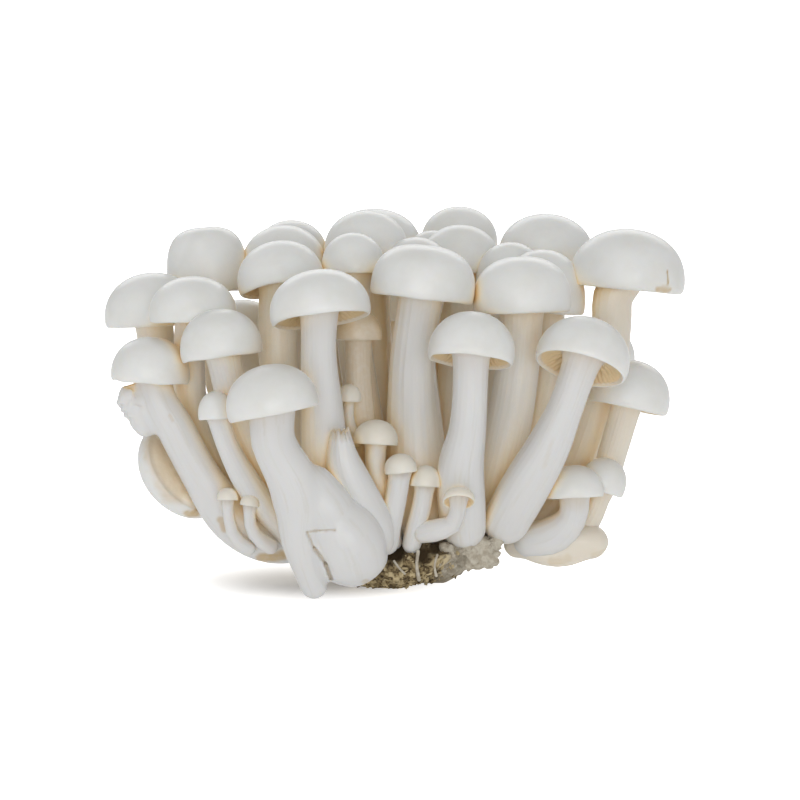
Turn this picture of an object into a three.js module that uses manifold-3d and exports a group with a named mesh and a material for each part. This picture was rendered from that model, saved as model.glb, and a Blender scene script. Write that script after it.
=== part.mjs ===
// A beech mushroom cluster: pale domed caps on curved stems, all grown from one small crumb of substrate.
// Millimetres, +Z up, +X to the right, -Y to the front. The origin is the middle of the flat resting face.

import * as THREE from 'three';
import { mergeVertices } from 'three/addons/utils/BufferGeometryUtils.js';
import Module from 'manifold-3d';

const wasm = await Module();
wasm.setup();

// Driving dimensions
const pressGap = 0.3; // clearance where two mushrooms press on each other
const stoutStem = 3.7; // a stem with a larger radius than this has eight sides, and the others six
const swollenStem = 6.5; // with a radius larger than this it has ten
const footRounding = 0.6; // radius of the foot's end as a share of the stem's
const smallCap = 5; // a cap with a smaller radius than this needs fewer rings
const crumbLength = 37; // the substrate along X
const crumbDepth = 34; // the substrate along Y
const crumbHeight = 10.5;
const crumbSides = 18;
const crumbLumps = 0.07; // how far its side swells in and out, as a share of its width
const crumbMiddle = [2.5, -3]; // its middle above its resting face
const crumbRise = 0.5; // slope by which its underside rises to the right
const crumbRiseFrom = 6; // the X where that begins
const restingLength = 20; // the flat face that the cluster stands on, about the origin
const fleshColour = 0xe4e3e0;
const youngColour = 0xe0dacd;
const crumbColour = 0x6b5a45;

// Shape of every cap, as shares of its own radius and height
const rimRadius = 0.95; // the margin rolls in under the widest line
const widestHeight = 0.2;
const hollowRadius = 0.6; // the underside arches up inside the margin, and the gills are deepest here
const hollowRise = 0.24;
const neckHeight = 0.45; // how far up inside the cap its stem ends
const gillDepth = 0.07; // ridge to valley, as a share of the radius
const fullness = 0.92; // power of the dome's curve: 1 is an ellipse, and less gives it fuller shoulders

// Each mushroom has its cap's middle at the rim, the cap's radius and height, the way the cap points, and
// its stem from under the cap to the foot as [x, y, z, radius]. Offshoots are more flesh on the same stem.
// What comes first keeps its full form, and what comes later is pressed in by it.
const frontMushrooms = {
  front_1: {
    cap: [-23.5, -33, 38], radius: 9, height: 9.7, points: [-0.21, 0.1, 1], gills: 11,
    stem: [
      [-23.9, -32.3, 33, 4.3], [-22.5, -31.6, 29.5, 4.4], [-20.1, -30.8, 25, 4.9],
      [-18.5, -30.4, 19.5, 5], [-18.7, -31, 13, 3.5], [-17.3, -30.2, 7.5, 2.8], [-15.2, -27.6, 1.4, 2.5],
    ],
    offshoots: [
      [
        [-17, -29, 26, 3.2], [-13.6, -27.3, 19.8, 6.9], [-10.6, -26, 13.5, 8.2], [-8.6, -25.2, 8, 7.4],
        [-7.6, -24.3, 3.1, 4.4],
      ],
    ],
  },
  front_2: {
    cap: [-14.5, -24, 55.3], radius: 10, height: 9.9, points: [-0.14, 0.26, 1], gills: 12,
    stem: [[-15, -23, 48, 3.5], [-14.5, -21.5, 38, 4.1], [-13.5, -19.5, 25, 4.5], [-9, -15.5, 8, 3.4]],
  },
  front_3: {
    cap: [14.5, -26, 47.4], radius: 8.5, height: 9.8, points: [0.1, 0.3, 1], gills: 11,
    stem: [
      [14.5, -24, 39.5, 3.4], [14, -22, 33, 3.7], [12.8, -19.5, 26, 4.5], [13, -16, 17, 4.7],
      [14, -13, 9, 4],
    ],
  },
  front_4: {
    cap: [36, -22, 45.5], radius: 9.2, height: 10.4, points: [0.3, 0.5, 1], gills: 11,
    stem: [[33.2, -20, 37.5, 3.5], [30, -18, 30, 4.3], [25.2, -14.5, 21, 4.9], [19.5, -9, 9.5, 4.8]],
  },
  front_5: {
    cap: [5, -14, 58.5], radius: 10.3, height: 10.6, points: [0.12, 0.09, 1], gills: 12,
    stem: [
      [3.5, -11, 48, 4.4], [3.5, -9, 37, 5.1], [4, -8.5, 26, 6], [4, -9.5, 16, 6.4], [4, -9.5, 8, 5],
    ],
  },
  front_6: {
    cap: [25, -12, 55.5], radius: 9.7, height: 11.1, points: [-0.03, 0.09, 1], gills: 10,
    stem: [[24, -9, 44, 4.3], [22, -6.5, 31, 4.5], [18, -3, 14, 4], [16, -1, 6, 2.8]],
  },
  front_7: {
    cap: [-34, -20, 47.5], radius: 8, height: 9.6, points: [-0.14, 0.12, 1], gills: 9,
    stem: [[-31.5, -19, 38, 3.2], [-27.5, -16.5, 28, 3.5], [-19.5, -12, 11, 2.9]],
  },
};

const sideMushrooms = {
  left_1: {
    cap: [-48.5, -14, 42], radius: 7.9, height: 8.9, points: [0.05, 0.07, 1], gills: 9,
    stem: [
      [-46.6, -15, 38.5, 3.4], [-43.9, -15, 33.6, 3.7], [-38.6, -15, 23.7, 3.8], [-32.5, -15, 15, 4.5],
      [-25.5, -14.5, 10.5, 4.3], [-16, -12.5, 9, 2.9],
    ],
    offshoots: [
      [[-53.4, -15, 41.6, 1.7], [-51.9, -15, 39.4, 2.3], [-49.7, -15, 36.4, 2.5], [-46.8, -15, 32, 2.3]],
    ],
  },
  left_2: {
    cap: [-48.5, 2, 51.5], radius: 9.6, height: 10.6, points: [-0.05, 0.07, 1], gills: 8,
    stem: [[-47.5, 3, 45, 3.7], [-45, 4, 34, 3.4], [-35, 2, 19, 3.2], [-15, -3.5, 7, 2.3]],
  },
  left_3: {
    cap: [-40, -11, 53.5], radius: 8.7, height: 9.1, points: [0, 0.09, 1], gills: 8,
    stem: [[-41, -9, 44, 3.2], [-39.5, -6, 32, 3.2], [-30, -4.5, 18, 3], [-16, -8, 7.5, 2.3]],
  },
  left_4: {
    cap: [-37.7, 10, 57.4], radius: 8.2, height: 13.1, points: [-0.07, 0.07, 1], gills: 8,
    stem: [[-36.5, 8, 50, 3.4], [-33.5, 5.5, 35, 3.4], [-22, 1, 17, 3.1], [-11, -1, 6.5, 2.3]],
  },
  left_5: {
    cap: [-35, -25, 36], radius: 3.5, height: 5.5, points: [-0.05, 0.1, 1], gills: 6,
    stem: [[-33, -24, 31, 2.1], [-28, -20.5, 21, 2.7], [-20, -17, 10, 2.1]],
  },
  drooping_cap: {
    cap: [-41.5, -8, 24.4], radius: 10.5, height: 7.2, points: [-0.68, 0.52, -0.54], gills: 11,
    stem: [[-38.6, -10, 24.5, 1.9], [-33.5, -9.5, 17, 1.9], [-25, -9.5, 10, 2]],
  },
  right_1: {
    cap: [29, 3, 54], radius: 8.8, height: 12.6, points: [0.05, 0.07, 1], gills: 8,
    stem: [[30, 3, 46, 3.7], [28.5, 2, 34, 3.7], [23, 0.5, 16, 3.2], [18.5, 0, 7.5, 2.5]],
  },
  right_2: {
    cap: [30.5, 24, 62], radius: 9.6, height: 10, points: [0.04, -0.04, 1], gills: 8,
    stem: [[30.5, 19, 48, 3.6], [27.5, 13.5, 33, 3.4], [20, 8, 13, 2.9], [15.5, 6, 5.5, 2.3]],
  },
  right_3: {
    cap: [46.2, 4, 58.5], radius: 11.5, height: 12.2, points: [0.09, 0.09, 1], gills: 12,
    stem: [
      [43.1, 3, 54, 3.9], [42.1, 3.5, 44, 3.9], [39.8, 4.5, 33, 3.7], [32, 5, 15, 3.3],
      [21.5, 3, 8, 2.4],
    ],
  },
  right_4: {
    cap: [46, -4, 35.5], radius: 8.2, height: 9.8, points: [0.21, 0.14, 1], gills: 10,
    stem: [[43.5, -2, 27, 2.9], [41, 0, 18.5, 2.8], [35, 0, 11, 3], [23, -1, 8, 2.2]],
  },
  right_5: {
    cap: [35.5, -11, 18.5], radius: 5.8, height: 6.5, points: [-0.05, 0.14, 1], gills: 8,
    stem: [[35, -10, 14.5, 2.9], [31, -8.5, 10.5, 3.8], [23.5, -6.5, 8.8, 3.2]],
  },
  right_6: {
    cap: [40.7, -6, 19.4], radius: 4.7, height: 6.6, points: [0.35, 0.05, 1], gills: 7,
    stem: [[39.8, -5.5, 16, 2.2], [37.5, -5, 12, 2.4], [31, -3.5, 9, 2.2]],
  },
  right_foot: {
    stem: [
      [42.4, -6, 9, 2.4], [38.5, -6.5, 9, 3.6], [32, -6.5, 8.3, 3.9], [26.5, -5.5, 8.6, 3.4],
      [21.5, -4.5, 8, 2.4],
    ],
    offshoots: [[[38, -8, 7, 1.6], [33, -9, 6, 1.9], [28, -8.5, 6.6, 1.8], [24, -7, 8, 1.4]]],
  },
};

const middleMushrooms = {
  centre_1: {
    cap: [-22.5, -6, 59.5], radius: 8.7, height: 9.7, points: [-0.18, 0.27, 1], gills: 9,
    stem: [[-23.5, -6, 49, 3.9], [-22, -7, 36, 3.9], [-16, -8, 18, 3.7], [-10, -8, 7.5, 2.8]],
  },
  centre_2: {
    cap: [-22.5, 12, 60], radius: 8.7, height: 10.7, points: [-0.05, 0.09, 1], gills: 7,
    stem: [[-21.5, 9, 48, 3.7], [-18, 5.5, 34, 3.7], [-10.5, 1, 15, 3.2], [-6, 0, 6.5, 2.4]],
  },
  centre_3: {
    cap: [-21.5, 30, 61.5], radius: 7.4, height: 8.7, points: [0, -0.07, 1], gills: 7,
    stem: [
      [-17, 23, 52, 3.3], [-13.2, 18.5, 42, 3.4], [-11.5, 13, 28, 3.3], [-6.5, 6, 11, 2.8],
      [-4.5, 4.5, 6, 2.2],
    ],
  },
  centre_4: {
    cap: [-8.5, -3, 62.5], radius: 6.2, height: 8, points: [0, 0.09, 1], gills: 7,
    stem: [[-8.5, -2, 50, 3.4], [-6.5, -2, 36, 3.4], [-2.5, -2.5, 15, 2.9], [-1.5, -3, 6.5, 2.3]],
  },
  centre_5: {
    cap: [-6, 11, 63.5], radius: 8.5, height: 10.3, points: [0, 0.05, 1], gills: 7,
    stem: [[-5.5, 9, 50, 3.7], [-4.5, 6.5, 34, 3.5], [-0.5, 3.5, 12, 2.9], [0.5, 3, 6, 2.4]],
  },
  centre_6: {
    cap: [-4.5, 29, 63.5], radius: 9.5, height: 9.1, points: [0, -0.05, 1], gills: 7,
    stem: [[-4.5, 23, 48, 3.5], [-3, 16, 32, 3.4], [0.5, 9, 11, 2.7], [1, 8, 5.5, 2.2]],
  },
  centre_7: {
    cap: [4, 6, 58.5], radius: 7.6, height: 10.3, points: [0, 0.07, 1], gills: 7,
    stem: [[4, 5, 47, 3.7], [5.5, 3.5, 33, 3.7], [8.5, 1.5, 13, 3], [9.5, 1, 6, 2.4]],
  },
  centre_8: {
    cap: [13, 15, 61], radius: 8.1, height: 9.5, points: [0, 0.04, 1], gills: 7,
    stem: [[12.5, 13, 47, 3.7], [11.5, 10.5, 33, 3.7], [10.5, 7, 13, 3], [10.5, 6, 5.5, 2.4]],
  },
  centre_9: {
    cap: [7.5, 24, 63], radius: 5.3, height: 5.6, points: [0, 0, 1], gills: 6,
    stem: [[7, 19, 47, 2.5], [6, 14, 32, 2.5], [5.5, 9, 12, 2.2], [5.5, 8.5, 5.5, 1.8]],
  },
  centre_10: {
    cap: [13, 37, 63.5], radius: 7.9, height: 8.9, points: [0, -0.1, 1], gills: 7,
    stem: [[12.5, 30, 48, 3.5], [11, 22, 34, 3.5], [9.5, 13.5, 13, 2.9], [9.5, 11.5, 5, 2.2]],
  },
  centre_11: {
    cap: [23, 8, 58.5], radius: 6.9, height: 9.1, points: [0, 0.07, 1], gills: 7,
    stem: [[22, 7, 48, 3.4], [20.5, 5.5, 34, 3.4], [16, 3, 13, 2.9], [14, 2.5, 6, 2.4]],
  },
  centre_12: {
    cap: [-7.5, -11, 50], radius: 4.7, height: 5.9, points: [0, 0.1, 1], gills: 6,
    stem: [[-7.5, -11, 43, 2.6], [-6, -11, 27, 2.8], [-3, -11, 9, 2.3]],
  },
};

// The far side, where lower mushrooms lean out from behind the tall ones
const backMushrooms = {
  back_1: {
    cap: [-31.5, 27, 44.5], radius: 8.5, height: 9.6, points: [-0.3, 0.35, 1], gills: 9,
    stem: [[-28, 23.5, 35, 3.3], [-22.5, 17, 23, 3.5], [-12, 7.5, 9, 2.7], [-8, 5, 6, 2.2]],
  },
  back_2: {
    cap: [-17.5, 40, 44], radius: 9, height: 9.8, points: [-0.1, 0.4, 1], gills: 9,
    stem: [[-15.5, 35, 34, 3.6], [-12, 27, 23, 3.6], [-6, 14, 9, 2.9], [-4, 10, 5.5, 2.2]],
  },
  back_3: {
    cap: [2, 44, 46], radius: 9.5, height: 10.2, points: [0, 0.35, 1], gills: 9,
    stem: [[2, 39, 36, 3.9], [2, 30, 24, 3.9], [1.5, 17, 9, 3], [1.5, 13, 5, 2.2]],
  },
  back_4: {
    cap: [22.5, 40, 42], radius: 8.7, height: 9.5, points: [0.2, 0.4, 1], gills: 9,
    stem: [[20, 35, 33, 3.3], [16, 27, 22, 3.5], [8, 15.5, 8.5, 2.7], [6.5, 13, 5, 2.1]],
  },
  back_5: {
    cap: [39.5, 24, 41], radius: 8.8, height: 9.7, points: [0.35, 0.3, 1], gills: 9,
    stem: [[35, 20.5, 31, 3.5], [28, 16, 21, 3.5], [17, 10.5, 8, 2.7], [13.5, 9, 5, 2.1]],
  },
  back_6: {
    cap: [-44, 16, 31], radius: 7.2, height: 8.2, points: [-0.45, 0.25, 1], gills: 8,
    stem: [[-39, 13.5, 23.5, 3], [-31, 10, 15.5, 3.1], [-17, 4.5, 8, 2.5], [-12, 3, 6, 2.1]],
  },
  back_7: {
    cap: [9.5, 33, 22], radius: 5, height: 6, points: [0.15, 0.5, 1], gills: 7,
    stem: [[8.5, 29.5, 16.5, 2], [6, 23, 10, 2.2], [3.5, 17, 5.5, 1.8]],
  },
  back_8: {
    cap: [-16, 29, 20], radius: 4.2, height: 5.2, points: [-0.3, 0.5, 1], gills: 6,
    stem: [[-13.5, 25.5, 15, 1.8], [-9.5, 19.5, 9.5, 2], [-5, 14, 5.5, 1.7]],
  },
};

const smallMushrooms = {
  pin_1: {
    cap: [-4, -18, 30], radius: 4.4, height: 5, points: [0.05, 0.15, 1], gills: 7,
    stem: [[-4, -18, 25.5, 2], [-2.8, -17.8, 21, 1.7], [-1.2, -17, 15.5, 1.5], [0, -16, 9, 1.4]],
  },
  pin_2: {
    cap: [1, -22, 25], radius: 3.2, height: 3.8, points: [-0.1, 0.1, 1], gills: 5,
    stem: [[0, -21, 20, 2.2], [-1.6, -20.5, 14, 2.6], [-2, -19.5, 8.5, 2.3]],
  },
  pin_3: {
    cap: [5.7, -20, 22], radius: 3.1, height: 4.2, points: [0.05, 0.14, 1], gills: 5,
    stem: [[5.1, -19, 18.5, 2], [4.2, -18.5, 14.5, 2.1], [2.6, -17.5, 8.5, 1.7]],
  },
  pin_4: {
    cap: [12.3, -24.5, 19.5], radius: 3.2, height: 2.9, points: [0, 0.7, 1], gills: 5,
    stem: [[12, -22, 17.5, 1.6], [11.2, -21, 14.8, 1.8], [8, -20.2, 13.4, 2.2], [3.5, -18.5, 12.5, 2]],
  },
  pin_5: {
    cap: [-33, -21.5, 19.5], radius: 2.1, height: 2.5, points: [0, 0.15, 1], gills: 4,
    stem: [[-32.8, -21, 16, 1.15], [-31.6, -20.5, 12, 1.3], [-28, -19, 8.8, 1.6]],
  },
  pin_6: {
    cap: [-28.7, -22.5, 18.5], radius: 1.9, height: 2.4, points: [0.14, 0.15, 1], gills: 4,
    stem: [[-28.6, -22, 15, 1.2], [-27.4, -21.3, 12.3, 1.4], [-23.5, -19.5, 9.3, 1.6]],
  },
  pin_7: {
    cap: [-9.2, -13.5, 38], radius: 2.4, height: 3.6, points: [0, 0.1, 1], gills: 4,
    stem: [[-9.2, -13.5, 34.5, 1], [-7.5, -13.5, 29, 1.2]],
  },
};

// The stem that lost its cap, from its ragged top to its foot
const tornStep = 1.1; // how far its top steps up and down
const brokenStem = [
  [-10.9, -26, 33.8, 1.8], [-10.2, -25.5, 27.5, 3.5], [-7.5, -24.5, 21, 4.1], [-4.6, -23, 14, 4.2],
  [-3.6, -21.5, 8, 3.2],
];

// A closed three.js geometry as a solid that can be joined and cut
function solidFrom(geometry) {
  geometry.deleteAttribute('normal');
  geometry.deleteAttribute('uv');
  const merged = mergeVertices(geometry, 1e-4);
  return new wasm.Manifold(new wasm.Mesh({
    numProp: 3,
    vertProperties: merged.attributes.position.array,
    triVerts: new Uint32Array(merged.index.array),
  }));
}

// The solid's largest body: what a neighbour cuts off from it is dropped
function largestBody(solid) {
  const bodies = solid.simplify(0.08).decompose();
  bodies.sort((a, b) => b.volume() - a.volume());
  return bodies[0];
}

function geometryFrom(solid, origin) {
  const mesh = solid.getMesh();
  const geometry = new THREE.BufferGeometry();
  geometry.setAttribute('position', new THREE.BufferAttribute(mesh.vertProperties, 3));
  geometry.setIndex(new THREE.BufferAttribute(mesh.triVerts, 1));
  geometry.translate(-origin.x, -origin.y, -origin.z);
  geometry.computeVertexNormals();
  return geometry;
}

// A domed cap about +Z with its rim at z = 0. The underside is pleated: every second spoke is a gill.
function capGeometry(radius, height, gills, pleated) {
  const widest = widestHeight * height;
  const profile = [
    new THREE.Vector2(0, (hollowRise + 0.08) * height),
    new THREE.Vector2(hollowRadius * radius, hollowRise * height),
    new THREE.Vector2(rimRadius * radius, 0),
  ];
  for (const degrees of radius > smallCap ? [0, 35, 65, 90] : [0, 48, 90]) {
    const angle = THREE.MathUtils.degToRad(degrees);
    const across = degrees === 90 ? 0 : radius * Math.cos(angle) ** fullness;
    profile.push(new THREE.Vector2(across, widest + (height - widest) * Math.sin(angle) ** fullness));
  }
  const geometry = new THREE.LatheGeometry(profile, 2 * gills).rotateX(Math.PI / 2);
  const place = geometry.attributes.position;
  for (let i = 0; i < place.count; i += 1) {
    const across = Math.hypot(place.getX(i), place.getY(i));
    if (Math.abs(across - hollowRadius * radius) < 0.01 && place.getZ(i) < 0.3 * height) {
      const spoke = gills * Math.atan2(place.getX(i), -place.getY(i));
      const ridge = pleated ? Math.round(Math.cos(spoke)) : 1;
      place.setZ(i, place.getZ(i) - 0.5 * ridge * gillDepth * radius);
    }
  }
  return geometry;
}

// Turns a shape about +Z to point the given way and moves it to its place
function pointTo(geometry, direction, place) {
  const turn = new THREE.Quaternion().setFromUnitVectors(
    new THREE.Vector3(0, 0, 1),
    new THREE.Vector3(...direction).normalize(),
  );
  return geometry.applyQuaternion(turn).translate(...place);
}

// A tapered stem with a rounded foot, along a smooth curve through [x, y, z, radius] points
function stemGeometry(points, grow) {
  const thickest = Math.max(...points.map((point) => point[3]));
  const roundest = thickest > swollenStem ? 10 : 8;
  const sides = thickest > stoutStem ? roundest : 6;
  const rings = points.length;
  const curve = new THREE.CatmullRomCurve3(points.map(([x, y, z]) => new THREE.Vector3(x, y, z)));
  const geometry = new THREE.CylinderGeometry(1, 1, 1, sides, rings);
  const place = geometry.attributes.position;
  const depthAxis = new THREE.Vector3(0, 1, 0);
  for (let i = 0; i < place.count; i += 1) {
    const along = 0.5 - place.getY(i);
    const span = along * (points.length - 1);
    const before = Math.min(Math.floor(span), points.length - 2);
    const rounding = along > 0.999 ? footRounding : 1;
    const width = THREE.MathUtils.lerp(points[before][3], points[before + 1][3], span - before);
    const radius = rounding * width + grow;
    const middle = curve.getPoint(along);
    const tangent = curve.getTangent(along);
    const side = depthAxis.clone().cross(tangent).normalize();
    const front = tangent.clone().cross(side);
    middle.addScaledVector(tangent, along > 0.999 ? grow : 0);
    middle.addScaledVector(side, radius * place.getX(i));
    middle.addScaledVector(front, radius * place.getZ(i));
    place.setXYZ(i, middle.x, middle.y, middle.z);
  }
  return geometry;
}

// A cap and the top of its stem, which ends inside it
function capOnStem({ cap, radius, height, points, gills, stem }, grow) {
  const up = new THREE.Vector3(...points).normalize();
  const place = new THREE.Vector3(...cap);
  const top = place.clone().addScaledVector(up, neckHeight * height);
  const neck = [top.x, top.y, top.z, 0.95 * stem[0][3]];
  place.addScaledVector(up, -grow);
  const capShape = capGeometry(radius + grow, height + 2 * grow, gills, grow === 0);
  const capSolid = solidFrom(pointTo(capShape, points, place.toArray()));
  return capSolid.add(solidFrom(stemGeometry([neck, ...stem], grow)));
}

// One mushroom as one solid. With grow it is that much larger all round, for the clearance to a neighbour.
function mushroomSolid(mushroom, grow = 0) {
  let solid = mushroom.cap ? capOnStem(mushroom, grow) : solidFrom(stemGeometry(mushroom.stem, grow));
  for (const offshoot of mushroom.offshoots ?? []) {
    solid = solid.add(solidFrom(stemGeometry(offshoot, grow)));
  }
  return solid;
}

// A stem whose top is a ragged break: the top ring steps up and down
function brokenStemSolid(grow = 0) {
  const geometry = stemGeometry(brokenStem, grow);
  const place = geometry.attributes.position;
  const brokenFrom = brokenStem[0][2] - 1.5;
  for (let i = 0; i < place.count; i += 1) {
    if (place.getZ(i) > brokenFrom) {
      const step = Math.sin(2.2 * place.getX(i) + 1.7 * place.getY(i));
      place.setZ(i, place.getZ(i) + tornStep * step);
    }
  }
  return solidFrom(geometry);
}

// The crumb of substrate: flat below, a lumpy rim round the feet of the stems, and longer than it is deep
function crumbSolid() {
  const flat = 0.5 * restingLength;
  const reach = 0.5 * crumbLength;
  const profile = [
    new THREE.Vector2(0, 0),
    new THREE.Vector2(flat, 0),
    new THREE.Vector2(0.93 * reach, 0.3 * crumbHeight),
    new THREE.Vector2(reach, 0.55 * crumbHeight),
    new THREE.Vector2(0.85 * reach, crumbHeight),
    new THREE.Vector2(0.6 * reach, 0.6 * crumbHeight),
    new THREE.Vector2(0, 0.55 * crumbHeight),
  ];
  const geometry = new THREE.LatheGeometry(profile, crumbSides).rotateX(Math.PI / 2);
  const place = geometry.attributes.position;
  for (let i = 0; i < place.count; i += 1) {
    const [x, y, z] = [place.getX(i), place.getY(i), place.getZ(i)];
    const isSide = z > 0.1 && z < 0.9 * crumbHeight;
    const lump = isSide ? 1 + crumbLumps * Math.sin(0.35 * x + 2) * Math.cos(0.3 * y + 1) : 1;
    const depthShare = crumbDepth / crumbLength;
    const lean = Math.min(1, z / (0.3 * crumbHeight));
    place.setX(i, lean * crumbMiddle[0] + x * lump);
    place.setY(i, lean * crumbMiddle[1] + y * lump * depthShare);
    const rise = crumbRise * Math.max(0, place.getX(i) - crumbRiseFrom);
    place.setZ(i, z + rise * lean * (1 - z / crumbHeight));
  }
  return solidFrom(geometry);
}

function mushroomMaterial(isPin) {
  const color = isPin ? youngColour : fleshColour;
  return new THREE.MeshStandardMaterial({ color, roughness: 0.55, metalness: 0 });
}

function crumbMaterial() {
  return new THREE.MeshStandardMaterial({ color: crumbColour, roughness: 0.95, metalness: 0 });
}

const group = new THREE.Group();
const grown = [];

function addMesh(name, solid, origin, material) {
  const mesh = new THREE.Mesh(geometryFrom(solid, origin), material);
  mesh.name = name;
  mesh.position.copy(origin);
  group.add(mesh);
}

// Each mushroom gives way to the ones before it
function addPressed(name, solid, grownSolid, foot, material) {
  let pressed = solid;
  for (const neighbour of grown) {
    pressed = pressed.subtract(neighbour);
  }
  addMesh(name, largestBody(pressed), new THREE.Vector3(foot[0], foot[1], foot[2]), material);
  grown.push(grownSolid);
}

function addMushrooms(list) {
  for (const [name, mushroom] of Object.entries(list)) {
    const material = mushroomMaterial(name.startsWith('pin'));
    const grownSolid = mushroomSolid(mushroom, pressGap);
    addPressed(name, mushroomSolid(mushroom), grownSolid, mushroom.stem.at(-1), material);
  }
}

addMushrooms(frontMushrooms);
addMushrooms(smallMushrooms);
const brokenFoot = brokenStem.at(-1);
const fleshMaterial = mushroomMaterial(false);
addPressed('broken_stem', brokenStemSolid(), brokenStemSolid(pressGap), brokenFoot, fleshMaterial);
addMushrooms(sideMushrooms);
addMushrooms(middleMushrooms);
addMushrooms(backMushrooms);

// The stems stand in holes in the substrate
let crumb = crumbSolid();
for (const neighbour of grown) {
  crumb = crumb.subtract(neighbour);
}
addMesh('substrate', largestBody(crumb), new THREE.Vector3(0, 0, 0), crumbMaterial());

export default group;
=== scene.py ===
import math
import bmesh
import bpy
import numpy as np
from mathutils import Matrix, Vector
from mathutils.bvhtree import BVHTree


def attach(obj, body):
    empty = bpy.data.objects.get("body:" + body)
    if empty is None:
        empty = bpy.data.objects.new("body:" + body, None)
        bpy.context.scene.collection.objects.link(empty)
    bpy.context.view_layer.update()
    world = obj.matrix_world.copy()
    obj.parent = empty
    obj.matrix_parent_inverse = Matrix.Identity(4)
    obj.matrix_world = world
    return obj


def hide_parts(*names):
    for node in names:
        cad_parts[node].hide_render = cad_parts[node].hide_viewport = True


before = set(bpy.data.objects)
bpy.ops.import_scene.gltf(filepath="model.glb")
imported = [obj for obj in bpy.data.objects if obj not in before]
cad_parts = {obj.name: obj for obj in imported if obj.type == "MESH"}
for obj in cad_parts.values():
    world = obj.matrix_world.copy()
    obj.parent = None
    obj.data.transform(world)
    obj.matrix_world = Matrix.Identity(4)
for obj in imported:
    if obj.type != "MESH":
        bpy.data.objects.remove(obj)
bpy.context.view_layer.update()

# Every mushroom in millimetres: its cap's middle at the rim, the cap's radius and height, the way the cap
# points, and its stem from under the cap to the foot as (x, y, z, radius). Offshoots are more flesh on it.
frontMushrooms = {
    "front_1": dict(cap=(-23.5, -33, 38), radius=9, height=9.7, up=(-0.21, 0.1, 1),
        stem=[(-23.9, -32.3, 33, 4.3), (-22.5, -31.6, 29.5, 4.4), (-20.1, -30.8, 25, 4.9),
              (-18.5, -30.4, 19.5, 5), (-18.7, -31, 13, 3.5), (-17.3, -30.2, 7.5, 2.8),
              (-15.2, -27.6, 1.4, 2.5)],
        offshoots=[[(-17, -29, 25, 3.2), (-14.2, -27.6, 19, 5.7), (-10.8, -26.2, 13.3, 8),
                    (-8.6, -25.2, 8, 7.4), (-7.6, -24.3, 3.1, 4.4)],
                   [(-18, -30, 27.5, 4), (-16.2, -29, 22.5, 5.2), (-13.8, -28, 18, 6.5),
                    (-12.4, -27.4, 14, 7)]]),       # fills the valley beside the first one
    "front_2": dict(cap=(-14.5, -24, 55.3), radius=10, height=9.9, up=(-0.14, 0.26, 1),
        stem=[(-15, -23, 48, 3.5), (-14.5, -21.5, 38, 4.1), (-13.5, -19.5, 25, 4.5),
              (-9, -15.5, 8, 3.4)]),
    "front_3": dict(cap=(14.5, -26, 47.4), radius=8.5, height=9.8, up=(0.1, 0.3, 1),
        stem=[(14.5, -24, 39.5, 3.4), (14, -22, 33, 3.7), (12.8, -19.5, 26, 4.5), (13, -16, 17, 4.7),
              (14, -13, 9, 4)]),
    "front_4": dict(cap=(36, -22, 45.5), radius=9.2, height=10.4, up=(0.3, 0.5, 1),
        stem=[(33.2, -20, 37.5, 3.5), (30, -18, 30, 4.3), (25.2, -14.5, 21, 4.9), (20, -9, 10.1, 4.5)]),
    "front_5": dict(cap=(5, -14, 58.5), radius=10.3, height=10.6, up=(0.12, 0.09, 1), fullness=0.8,
        stem=[(3.5, -11, 48, 4.4), (3.5, -9, 37, 5.1), (4, -8.5, 26, 6), (4, -9.5, 16, 6.4),
              (4, -9.5, 8, 5)]),
    "front_6": dict(cap=(25, -12, 55.5), radius=9.7, height=11.1, up=(-0.03, 0.09, 1), fullness=0.84,
        stem=[(24, -9, 44, 4.3), (22, -6.5, 31, 4.5), (18, -3, 14, 4), (16, -1, 6, 2.8)]),
    "front_7": dict(cap=(-34, -20, 47.5), radius=8, height=9.6, up=(-0.14, 0.12, 1),
        stem=[(-31.5, -19, 38, 3.2), (-27.5, -16.5, 28, 3.5), (-19.5, -12, 11, 2.9)]),
}

smallMushrooms = {
    "pin_1": dict(cap=(-4, -18, 30), radius=4.4, height=5, up=(0.05, 0.15, 1),
        stem=[(-4, -18, 25.5, 2), (-2.8, -17.8, 21, 1.7), (-1.2, -17, 15.5, 1.5), (0, -16, 9, 1.4)]),
    "pin_2": dict(cap=(1, -22, 25), radius=3.2, height=3.8, up=(-0.1, 0.1, 1),
        stem=[(0, -21, 20, 2.2), (-1.6, -20.5, 14, 2.6), (-2, -19.5, 8.5, 2.3)]),
    "pin_3": dict(cap=(5.7, -20, 22), radius=3.1, height=4.2, up=(0.05, 0.14, 1),
        stem=[(5.1, -19, 18.5, 2), (4.2, -18.5, 14.5, 2.1), (2.6, -17.5, 8.5, 1.7)]),
    "pin_4": dict(cap=(12.3, -24.5, 19.5), radius=3.2, height=2.9, up=(0, 0.7, 1),
        stem=[(12, -22, 17.5, 1.6), (11.2, -21, 14.8, 1.8), (8, -20.2, 13.4, 2.2),
              (3.5, -18.5, 12.5, 2)]),
    "pin_5": dict(cap=(-33, -21.5, 19.5), radius=2.1, height=2.5, up=(0, 0.15, 1),
        stem=[(-32.8, -21, 16, 1.15), (-31.6, -20.5, 12, 1.3), (-28, -19, 8.8, 1.6)]),
    "pin_6": dict(cap=(-28.7, -22.5, 18.5), radius=1.9, height=2.4, up=(0.14, 0.15, 1),
        stem=[(-28.6, -22, 15, 1.2), (-27.4, -21.3, 12.3, 1.4), (-23.5, -19.5, 9.3, 1.6)]),
    "pin_7": dict(cap=(-9.2, -13.5, 38), radius=2.4, height=3.6, up=(0, 0.1, 1),
        stem=[(-9.2, -13.5, 34.5, 1), (-7.5, -13.5, 29, 1.2)]),
}

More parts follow.
